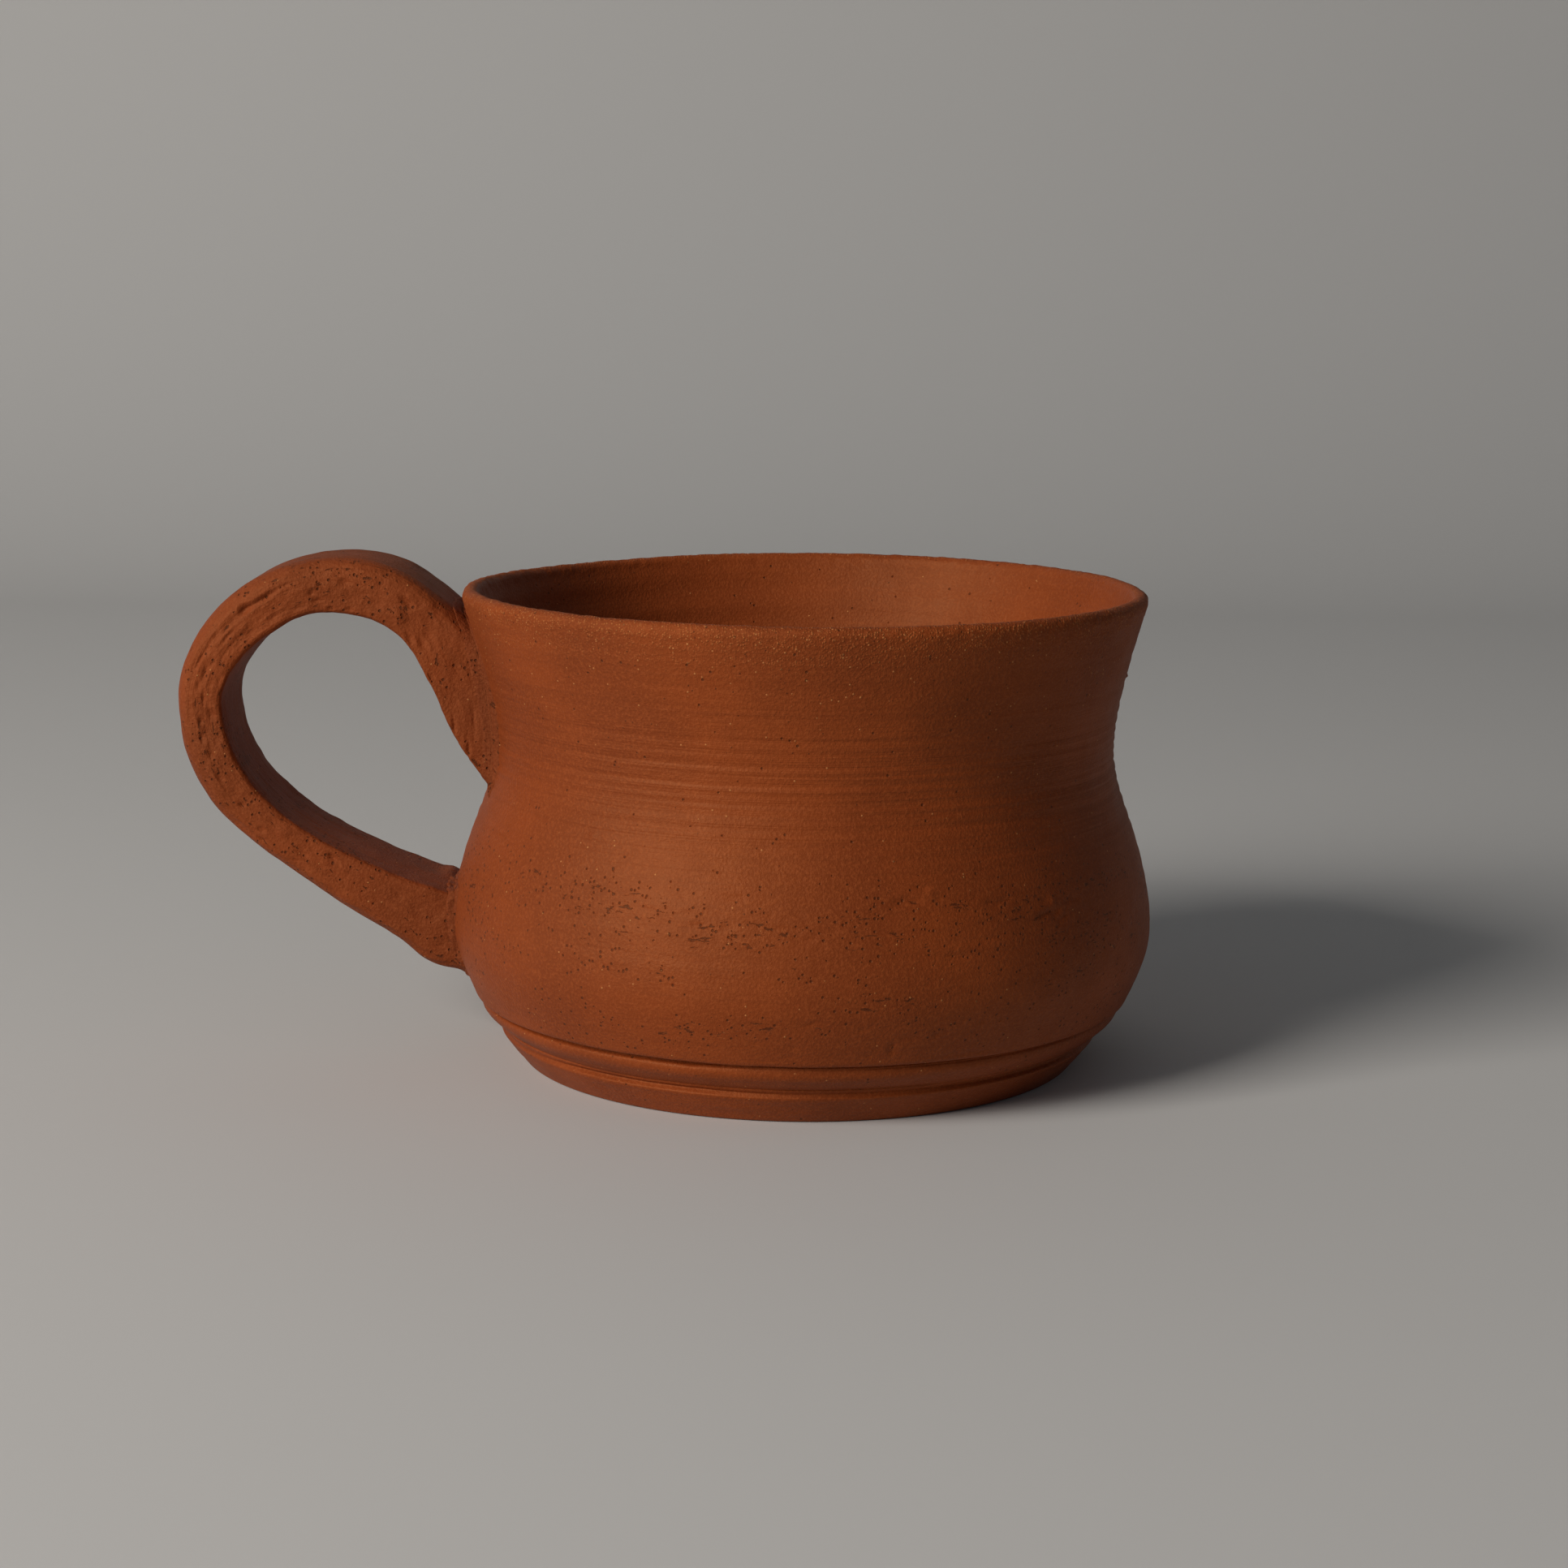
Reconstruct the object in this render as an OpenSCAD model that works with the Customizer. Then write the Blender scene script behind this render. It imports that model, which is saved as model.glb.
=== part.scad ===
// Wheel-thrown earthenware mug with a pulled strap handle.
// Origin: centre of the foot's underside. +Z is up, and the handle points along -X.
// The pot, the strap and the two slip joints are the pieces that the potter puts together.

/* [Vessel] */
// Outside diameter at the lip
rim_d = 100; // [80:1:125]
// Height from the table to the top of the lip
mug_h = 69.5; // [58:0.5:90]
// Outside diameter at the narrowest part of the neck
waist_d = 90.4; // [72:0.2:115]
// Height of the narrowest part of the neck
waist_z = 46.5; // [38:0.5:52]
// Outside diameter at the widest part of the belly
belly_d = 103.4; // [84:0.2:126]
// Height of the widest part of the belly
belly_z = 20; // [16:0.5:24]

/* [Wall] */
// Thickness of the wall in the belly and neck
wall_t = 4; // [3:0.1:6]
// Thickness of the lip, which is fully rounded
lip_t = 2.6; // [1.8:0.1:4]
// Thickness of the floor
floor_t = 5; // [3.5:0.1:7]
// Radius inside, between the floor and the wall
floor_fillet = 12; // [6:0.5:15]

/* [Turned foot] */
// Diameter of the flat underside
foot_d = 81.4; // [66:0.2:98]
// Height of the upper turned step, where the belly begins
step_z = 9.6; // [8:0.1:12]
// How far the belly overhangs the band under the upper step
step_depth = 0.7; // [0.3:0.1:1.2]
// Height of the lower turned step
low_step_z = 4.9; // [4:0.1:6]
// Height of the bevel at the table
bevel_h = 2.5; // [1.5:0.1:3.2]

/* [Handle] */
// Width of the strap, across the fingers
strap_w = 18; // [12:0.5:24]
// Thickness of the strap where it is gripped
strap_t = 7.1; // [4:0.1:9]
// Thickness of the strap over the top of the loop
arch_t = 8.3; // [5:0.1:10]
// Radius on the strap's long edges
strap_edge_r = 1.9; // [0.8:0.1:2]
// How far the loop reaches out past the lip
reach = 41.2; // [30:0.2:50]
// How far the top of the loop stands above the lip
rise = 4.3; // [0:0.1:8]
// Height of the outermost point of the grip
grip_z = 52.5; // [46:0.5:58]
// How far the top of the upper root lies below the lip's crest
upper_root_drop = 4.4; // [4:0.1:8]
// Height of the bottom of the upper root, on the neck
upper_root_z = 41; // [37:0.5:46]
// Height of the top of the lower root, on the belly
lower_root_top_z = 24.4; // [22:0.2:28]
// Height of the bottom of the lower root, on the belly
lower_root_z = 10.8; // [10.6:0.2:15]

/* [Slip joints] */
// Thickness of the slip between the handle's end and the wall
slip_t = 0.5; // [0.3:0.1:1]
// How far the squeezed-out slip stands proud around each root
slip_bead = 1.2; // [0.8:0.1:2]
// How far the squeezed-out slip stands off the wall
slip_h = 2.2; // [1.5:0.1:4]

/* [Hidden] */
$fn = 96;

rim_r = rim_d / 2;
waist_r = waist_d / 2;
belly_r = belly_d / 2;
foot_r = foot_d / 2;
lip_r = lip_t / 2;
lip_z = mug_h - lip_r;
crest_z = mug_h + rise;
step_r = belly_r - 3.4;                 // the belly's lower edge, which tucks in under the widest part
grip_x = -(rim_r + reach);
wall_steps = 48;                        // rings up the outside of the wall
lip_steps = 8;                          // points round the lip
inner_steps = 36;                       // rings down the inside of the wall
fillet_steps = 10;                      // points round the inside corner
strap_steps = 12;                       // rings along each of the strap's three curves
corner_steps = 3;                       // points round each corner of the strap's section, less one
bury = 3.5;                             // how far the lower end runs on inside the wall's outline
neck_bury = 1.75;                       // the same for the upper end, past the neck's hollow

// ---- the outside of the wall, as heights, radii and slopes joined by smooth cubics ----

flare_z = waist_z + (lip_z - waist_z) * 0.48;
shoulder_z = belly_z + (waist_z - belly_z) * 0.53;
WALL = [
    [step_z, step_r, 0.42],
    [belly_z, belly_r, 0],
    [shoulder_z, belly_r - (belly_r - waist_r) * 0.45, -0.36],
    [waist_z, waist_r, 0],
    [flare_z, waist_r + (rim_r - waist_r) * 0.36, 0.27],
    [lip_z, rim_r, 0.3]
];

function cubic(z, a, b) =
    let (h = b[0] - a[0], t = (z - a[0]) / h)
    a[1] * (2 * t ^ 3 - 3 * t ^ 2 + 1) + a[2] * h * (t ^ 3 - 2 * t ^ 2 + t)
    + b[1] * (3 * t ^ 2 - 2 * t ^ 3) + b[2] * h * (t ^ 3 - t ^ 2);

function wall_r(z, i = 0) =
    i >= len(WALL) - 2 || z <= WALL[i + 1][0] ? cubic(z, WALL[i], WALL[i + 1]) : wall_r(z, i + 1);

// How deep the wall lies, at most, behind a straight line from one height to another.
function hollow(z0, z1) =
    max([for (i = [0:12]) let (t = i / 12) wall_r(z0) * (1 - t) + wall_r(z1) * t - wall_r(z0 + (z1 - z0) * t)]);

function wall_at(z) = max(lip_t, wall_t + (lip_t - wall_t) * max(0, z - waist_z) / (lip_z - waist_z));

// Two turned bands and a bevel, from the table up to the belly's overhanging edge.
function foot_profile(grow) = [
    [foot_r + grow, 0],
    [foot_r + bevel_h * 0.78 + grow, bevel_h],
    [step_r - step_depth - (step_z - low_step_z) * 0.72 + grow, low_step_z - 0.4],
    [step_r - step_depth - (step_z - low_step_z) * 0.78 + grow, low_step_z],
    [step_r - step_depth - (step_z - low_step_z) * 0.52 + grow, low_step_z + 0.8],
    [step_r - step_depth + 0.25 + grow, step_z - 1.5],
    [step_r - step_depth + grow, step_z - 0.6],
    [step_r - 0.15 + grow, step_z - 0.3]
];

function outside(grow) = concat(
    foot_profile(grow),
    [for (i = [0:wall_steps]) let (z = step_z + (lip_z - step_z) * i / wall_steps) [wall_r(z) + grow, z]]
);

function lip() = [
    for (i = [1:lip_steps]) let (a = 180 * i / lip_steps)
    [rim_r - lip_r + lip_r * cos(a), lip_z + lip_r * sin(a)]
];

function inside() =
    let (z0 = floor_t + floor_fillet, r0 = wall_r(z0) - wall_at(z0) - floor_fillet)
    concat(
        [for (i = [1:inner_steps]) let (z = lip_z + (z0 - lip_z) * i / inner_steps) [wall_r(z) - wall_at(z), z]],
        [for (i = [1:fillet_steps]) let (a = 90 * i / fillet_steps)
            [r0 + floor_fillet * cos(a), z0 - floor_fillet * sin(a)]],
        [[0, floor_t]]
    );

// The space that the pot fills, hollow included, grown outwards by a layer of slip.
module pot_envelope(grow) {
    rotate_extrude()
        polygon(concat([[0, 0]], outside(grow), [[rim_r + grow, mug_h], [0, mug_h]]));
}

module thrown_body() {
    color("sienna")
        rotate_extrude()
            polygon(concat([[0, 0]], outside(0), lip(), inside()));
}

// ---- the strap: its outer and inner edges, seen from the side, are three curves each ----

function bezier(p, t) =
    p[0] * (1 - t) ^ 3 + p[1] * 3 * t * (1 - t) ^ 2 + p[2] * 3 * t ^ 2 * (1 - t) + p[3] * t ^ 3;

upper_root_top = mug_h - upper_root_drop;
upper_bury = neck_bury + hollow(upper_root_z, upper_root_top);
upper_top = [-(wall_r(upper_root_top) - upper_bury), upper_root_top - bury];
upper_low = [-(wall_r(upper_root_z) - upper_bury), upper_root_z - bury];
lower_top = [-(wall_r(lower_root_top_z) - bury), lower_root_top_z - 0.4];
lower_low = [-(wall_r(lower_root_z) - bury), lower_root_z - bury];
crest = [-(rim_r + 0.418 * reach), crest_z];
hole_top = [crest[0] - 2.3, crest_z - arch_t];
grip_out = [grip_x, grip_z];
grip_in = [grip_x + strap_t, grip_z];

// A quarter turn from level to upright: a fullness of 0.552 makes it elliptical, and less makes it flatter.
function quarter(a, b, fullness) =
    [a, a + [fullness * (b[0] - a[0]), 0], b + [0, fullness * (a[1] - b[1])], b];

OUTER = [
    [upper_top, upper_top + [-7.3, 6.5], crest + [10, 0], crest],
    quarter(crest, grip_out, 0.52),
    [grip_out, grip_out + [0, -22.6], lower_low + [-23.7, 19.9], lower_low]
];
INNER = [
    [upper_low, upper_low + [-15.7, 13], hole_top + [18.6, 0], hole_top],
    quarter(hole_top, grip_in, 0.4),
    [grip_in, grip_in + [0, -12.3], lower_top + [-25.5, 7], lower_top]
];

// One ring of the strap: a rounded rectangle between the two edges, grown all round.
function strap_ring(a, b, grow) =
    let (
        mid = (a + b) / 2,
        across = (a - b) / norm(a - b),
        h = norm(a - b) / 2 + grow,
        w = strap_w / 2 + grow,
        r = min(strap_edge_r + grow, h * 0.9)
    )
    [for (q = [0:3], i = [0:corner_steps])
        let (
            ang = 90 * (q + i / corner_steps),
            u = (q == 0 || q == 3 ? 1 : -1) * (h - r) + r * cos(ang),
            v = (q < 2 ? 1 : -1) * (w - r) + r * sin(ang)
        )
        [mid[0] + across[0] * u, v, mid[1] + across[1] * u]];

// A closed skin over a list of rings.
module skin(rings) {
    n = len(rings[0]);
    last = len(rings) - 1;
    polyhedron(
        points = [for (ring = rings, p = ring) p],
        faces = concat(
            [[for (j = [0:n - 1]) j]],
            [for (i = [0:last - 1], j = [0:n - 1])
                let (k = (j + 1) % n)
                each [[i * n + j, (i + 1) * n + j, (i + 1) * n + k], [i * n + j, (i + 1) * n + k, i * n + k]]],
            [[for (j = [n - 1:-1:0]) last * n + j]]
        )
    );
}

module strap() {
    skin([for (c = [0:2], i = [c == 0 ? 0 : 1:strap_steps])
        strap_ring(bezier(OUTER[c], i / strap_steps), bezier(INNER[c], i / strap_steps), 0)]);
}

// The strap is cut to the wall, and nothing of it hangs down into the turned bands of the foot.
module handle() {
    color("sienna")
        difference() {
            strap();
            pot_envelope(slip_t);
            cylinder(h = step_z - 0.3, r = step_r + slip_t);
        }
}

// ---- slip: a thin layer behind each root and the bead that squeezes out round it ----

// The end of one of the strap's curves, grown by the bead's height and kept close to the wall.
module root_bead(curve, t0, t1) {
    intersection() {
        skin([for (i = [0:strap_steps])
            let (t = t0 + (t1 - t0) * i / strap_steps)
            strap_ring(bezier(OUTER[curve], t), bezier(INNER[curve], t), slip_bead)]);
        pot_envelope(slip_h);
    }
}

module upper_slip_joint() {
    color("saddlebrown")
        difference() {
            root_bead(0, 0, 0.5);
            pot_envelope(0);
            handle();
        }
}

module lower_slip_joint() {
    color("saddlebrown")
        difference() {
            root_bead(2, 0.7, 1);
            pot_envelope(0);
            handle();
        }
}

thrown_body();
handle();
upper_slip_joint();
lower_slip_joint();
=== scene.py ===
"""A hand-thrown mug in bare red earthenware, with a pulled strap handle slipped on at two roots."""

import math
from functools import partial

import bmesh
import bpy
import numpy as np
from mathutils import Matrix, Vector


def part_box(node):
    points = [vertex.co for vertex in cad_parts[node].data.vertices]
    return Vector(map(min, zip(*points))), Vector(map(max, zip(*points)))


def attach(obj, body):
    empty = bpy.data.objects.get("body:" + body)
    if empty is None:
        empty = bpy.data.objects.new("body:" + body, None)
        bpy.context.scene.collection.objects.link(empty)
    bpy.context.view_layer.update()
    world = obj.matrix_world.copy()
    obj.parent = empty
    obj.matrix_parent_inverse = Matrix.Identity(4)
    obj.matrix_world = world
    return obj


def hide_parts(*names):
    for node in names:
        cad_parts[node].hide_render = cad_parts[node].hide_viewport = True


MM = 0.001

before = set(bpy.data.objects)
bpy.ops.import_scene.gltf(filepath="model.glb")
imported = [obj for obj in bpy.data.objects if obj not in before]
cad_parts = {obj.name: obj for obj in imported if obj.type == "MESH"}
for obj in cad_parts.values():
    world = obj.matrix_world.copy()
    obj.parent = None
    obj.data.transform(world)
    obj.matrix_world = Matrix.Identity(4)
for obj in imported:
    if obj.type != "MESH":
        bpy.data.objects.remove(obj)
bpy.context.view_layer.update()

# ------------------------------------------------------------------ sizes, in millimetres

MUG_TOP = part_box("thrown_body")[1][2] / MM
RIM_RADIUS = 50.0
LIP_RADIUS = 1.3                        # half the lip's thickness, which is fully rounded
LIP_HEIGHT = MUG_TOP - LIP_RADIUS
WALL_THICK = 4.0
LIP_THICK = 2.6
FLOOR_THICK = 5.0
FLOOR_CURVE = 12.0
NECK_HEIGHT = 46.5
BELLY_EDGE = 9.6                        # where the belly overhangs the turned foot
FIRST_WALL_RING = 9.8

# The outside of the wall: height, radius, and how fast it leans out there.
WALL_CURVE = [
    (BELLY_EDGE, 48.3, 0.44),
    (20.0, 51.55, 0.0),
    (34.0, 48.55, -0.38),
    (NECK_HEIGHT, 45.2, 0.0),
    (57.1, 46.8, 0.27),
    (LIP_HEIGHT, RIM_RADIUS, 0.30),
]

# The turned foot, from the table to the belly's overhanging edge: radius, height.
FOOT_STEPS = [
    (40.6, 0.0), (41.1, 0.15), (41.5, 0.7), (42.8, 2.2), (43.1, 2.6), (43.35, 2.95),
    (44.15, 3.9), (44.3, 4.2), (44.2, 4.4), (43.85, 4.6), (43.65, 4.9), (43.9, 5.15),
    (44.3, 5.35), (44.2, 5.6), (44.75, 5.85), (46.0, 6.6), (47.0, 7.5), (47.35, 8.2),
    (47.4, 8.7), (47.15, 8.95), (46.75, 9.1), (46.75, 9.35), (47.3, 9.5), (48.0, 9.65),
]


def wall_radius(height):
    """Outside radius of the wall at a height, in millimetres."""
    height = np.asarray(height, float)
    radius = np.zeros_like(height)
    last = len(WALL_CURVE) - 2
    for i in range(last + 1):
        z0, r0, lean0 = WALL_CURVE[i]
        z1, r1, lean1 = WALL_CURVE[i + 1]
        span = z1 - z0
        t = (height - z0) / span
        piece = (r0 * (2 * t**3 - 3 * t**2 + 1) + lean0 * span * (t**3 - 2 * t**2 + t)
                 + r1 * (3 * t**2 - 2 * t**3) + lean1 * span * (t**3 - t**2))
        inside = (height >= z0) if i == last else (height >= z0) & (height < z1)
        radius = np.where(inside | ((i == 0) & (height < z0)), piece, radius)
    return radius


def wall_thickness(height):
    """The wall thins from the neck up to the lip."""
    return WALL_THICK + (LIP_THICK - WALL_THICK) * max(0.0, height - NECK_HEIGHT) / (LIP_HEIGHT - NECK_HEIGHT)


# ------------------------------------------------------------------ the bench: small helpers

def put_down():
    """Nothing stays selected between pieces."""
    if bpy.context.object and bpy.context.object.mode != "OBJECT":
        bpy.ops.object.mode_set(mode="OBJECT")
    bpy.ops.object.select_all(action="DESELECT")


def pick_up(piece):
    put_down()
    piece.select_set(True)
    bpy.context.view_layer.objects.active = piece


def finish_with(piece, kind, **settings):
    """Adds a modifier and applies it."""
    pick_up(piece)
    modifier = piece.modifiers.new(kind.title(), kind)
    for name, value in settings.items():
        setattr(modifier, name, value)
    bpy.ops.object.modifier_apply(modifier=modifier.name)


def points_of(piece):
    """The mesh's points, in millimetres."""
    flat = np.empty(len(piece.data.vertices) * 3)
    piece.data.vertices.foreach_get("co", flat)
    return flat.reshape(-1, 3) / MM


def set_points(piece, points):
    piece.data.vertices.foreach_set("co", (points * MM).ravel())
    piece.data.update()


def normals_of(piece):
    flat = np.empty(len(piece.data.vertices) * 3)
    piece.data.vertex_normals.foreach_get("vector", flat)
    return flat.reshape(-1, 3)


def smooth_step(low, high, value):
    t = np.clip((value - low) / (high - low), 0.0, 1.0)
    return t * t * (3 - 2 * t)


def lumps(points, size, seed):
    """A smooth random value from -1 to 1 at each point, with lumps about that many millimetres across."""
    spot = points / np.asarray(size, float)
    cell = np.floor(spot).astype(np.int64)
    part = spot - cell
    part = part * part * (3 - 2 * part)
    total = np.zeros(len(points))
    for corner in range(8):
        step = np.array([corner & 1, corner >> 1 & 1, corner >> 2 & 1])
        at = cell + step
        mixed = (at[:, 0] * 73856093) ^ (at[:, 1] * 19349663) ^ (at[:, 2] * 83492791) ^ (seed * 2971215073)
        mixed = (mixed ^ (mixed >> 13)) * 1274126177 & 0x7FFFFFFF
        mixed = (mixed ^ (mixed >> 15)) * 668265263 & 0x7FFFFFFF
        share = np.prod(np.where(step == 1, part, 1 - part), axis=1)
        total += ((mixed >> 8) % 4096 / 2047.5 - 1) * share
    return total


def ripple(value, centre, width):
    return np.exp(-((value - centre) / width) ** 2)


def turned_from(angle, start):
    """How far an angle lies from another, in degrees from -180 to 180."""
    return (angle - start + 180) % 360 - 180


# ------------------------------------------------------------------ the pot

POT_SIDES = 160
MOST_TRIANGLES = 196000


def pot_profile():
    """Radius and height of each ring: out along the underside, up the outside and down the inside to the floor."""
    rings = [(r, 0.0) for r in (3.0, 8.0, 14.0, 20.0, 26.0, 32.0, 37.0, 39.8)]
    rings += FOOT_STEPS
    for z in np.linspace(FIRST_WALL_RING, LIP_HEIGHT, 44):
        rings.append((float(wall_radius(z)) + 0.05 * float(ripple(z, 10.0, 0.6)), float(z)))
    for angle in (35, 70, 100, 130, 160):
        a = math.radians(angle)
        rings.append((RIM_RADIUS - LIP_RADIUS + LIP_RADIUS * math.cos(a), LIP_HEIGHT + LIP_RADIUS * math.sin(a)))
    floor_top = FLOOR_THICK + FLOOR_CURVE
    for z in np.linspace(LIP_HEIGHT, floor_top, 24):
        rings.append((float(wall_radius(z)) - wall_thickness(float(z)), float(z)))
    corner = float(wall_radius(floor_top)) - wall_thickness(floor_top) - FLOOR_CURVE
    for angle in (15, 30, 45, 60, 75, 90):
        a = math.radians(angle)
        rings.append((corner + FLOOR_CURVE * math.cos(a), floor_top - FLOOR_CURVE * math.sin(a)))
    rings += [(r, FLOOR_THICK) for r in (29.0, 23.0, 17.0, 11.0, 6.0, 2.5)]
    return rings


def throw_pot():
    """Raised ring by ring from a disc of clay, as it is on the wheel."""
    rings = pot_profile()
    put_down()
    bpy.ops.mesh.primitive_circle_add(vertices=POT_SIDES, radius=rings[0][0] * MM, fill_type="TRIFAN",
                                      location=(0, 0, 0))
    pot = bpy.context.object
    pot.name = "pot"
    bpy.ops.object.mode_set(mode="EDIT")
    bpy.ops.mesh.select_mode(type="EDGE")
    bpy.ops.mesh.select_all(action="DESELECT")
    bpy.ops.mesh.select_non_manifold()
    for (r_old, z_old), (r, z) in zip(rings, rings[1:]):
        bpy.ops.mesh.extrude_region_move(TRANSFORM_OT_translate={"value": (0, 0, (z - z_old) * MM)})
        bpy.ops.transform.resize(value=(r / r_old, r / r_old, 1), center_override=(0, 0, z * MM))
    bpy.ops.mesh.edge_face_add()
    bpy.ops.mesh.poke()
    bpy.ops.mesh.select_all(action="SELECT")
    bpy.ops.mesh.normals_make_consistent(inside=False)
    bpy.ops.object.mode_set(mode="OBJECT")
    finish_with(pot, "SUBSURF", levels=2, render_levels=2, use_limit_surface=False)
    return pot


# Throwing rings on the neck: height, how deep, how wide.
NECK_RINGS = [
    (60.6, 0.04, 0.7), (56.4, 0.08, 0.45), (53.3, 0.13, 0.40), (51.6, 0.10, 0.35), (49.9, 0.17, 0.40),
    (48.6, 0.10, 0.35), (47.2, 0.16, 0.40), (45.9, 0.09, 0.35), (44.4, 0.17, 0.45), (42.9, 0.11, 0.35),
    (41.2, 0.15, 0.40), (39.4, 0.09, 0.35), (37.2, 0.09, 0.40), (35.4, 0.06, 0.40), (31.6, 0.05, 0.5),
    (28.2, 0.05, 0.7), (24.4, 0.05, 0.9),
]

# Where grit was dragged out by the turning tool: angle round the pot, height, spread round, spread up, how many.
DRAG_PATCHES = [
    (-112, 31.0, 5, 1.4, 9), (-101, 28.5, 8, 1.4, 14), (-90, 29.5, 6, 1.2, 12), (-72, 31.5, 5, 1.2, 9),
    (-62, 30.5, 5, 1.1, 7), (-47, 29.0, 5, 1.2, 12), (-98, 21.5, 7, 1.5, 8), (-88, 15.0, 9, 1.8, 10),
    (-66, 13.5, 8, 1.6, 9), (-52, 23.5, 6, 1.5, 6), (-20, 26.0, 14, 4.0, 14), (10, 24.0, 14, 4.0, 14),
    (45, 28.0, 12, 2.5, 18), (75, 29.5, 10, 2.0, 16), (100, 21.0, 12, 3.5, 16), (140, 27.0, 14, 4.0, 14),
    (-145, 24.0, 10, 4.0, 10),
]
# The marks that stand out by themselves: angle, height, length, width, depth.
LONG_MARKS = [
    (-63, 10.6, 7, 0.5, 0.10), (-85, 27.4, 6, 0.45, 0.10), (-64, 26.8, 10, 0.4, 0.10), (-58, 31.4, 4, 0.6, 0.19),
    (-48, 28.9, 4, 0.8, 0.23), (-46, 28.0, 3, 0.7, 0.18), (-101, 32.9, 3, 0.6, 0.14), (-90, 27.8, 3, 0.7, 0.17),
    (-93, 29.2, 4, 0.5, 0.13), (-74, 32.6, 4, 0.8, 0.18), (-71, 34.2, 2, 0.7, 0.16), (-66, 25.0, 3, 0.7, 0.14),
    (38, 30.4, 8, 0.5, 0.13), (80, 27.6, 9, 0.5, 0.12), (118, 24.0, 6, 0.6, 0.16), (150, 30.2, 7, 0.5, 0.12),
]
# Crumbs of clay that stuck, and knocks: angle, height, size across, how far they stand out.
CRUMBS = [
    (-3, 57.0, 0.7, 0.55), (-1, 22.8, 1.2, -0.20), (-3, 20.8, 1.3, 0.12), (-2, 18.8, 1.3, -0.18),
    (-47, 30.4, 0.9, 0.2), (-70, 33.4, 0.8, 0.22), (-76, 11.9, 0.7, -0.25), (-76, 12.8, 0.6, -0.25),
    (62, 33.0, 0.8, 0.25), (128, 52.0, 0.7, 0.35), (-128, 39.0, 0.6, 0.2), (20, 61.0, 0.7, 0.25),
]


def drag_marks():
    """Each mark's angle, height, length and width in millimetres, depth, and the side its burr is on."""
    luck = np.random.default_rng(11)
    marks = []
    for angle, height, round_, up, count in DRAG_PATCHES:
        for _ in range(count):
            long_one = luck.random() < 0.3
            length = luck.uniform(1.4, 3.4) if long_one else luck.uniform(0.6, 1.2)
            width = luck.uniform(0.45, 0.65)
            marks.append((angle + luck.normal() * round_, height + luck.normal() * up, length, width,
                          luck.uniform(0.04, 0.12), luck.choice([-1, 1])))
    marks += [mark + (1,) for mark in LONG_MARKS]
    return marks


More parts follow.
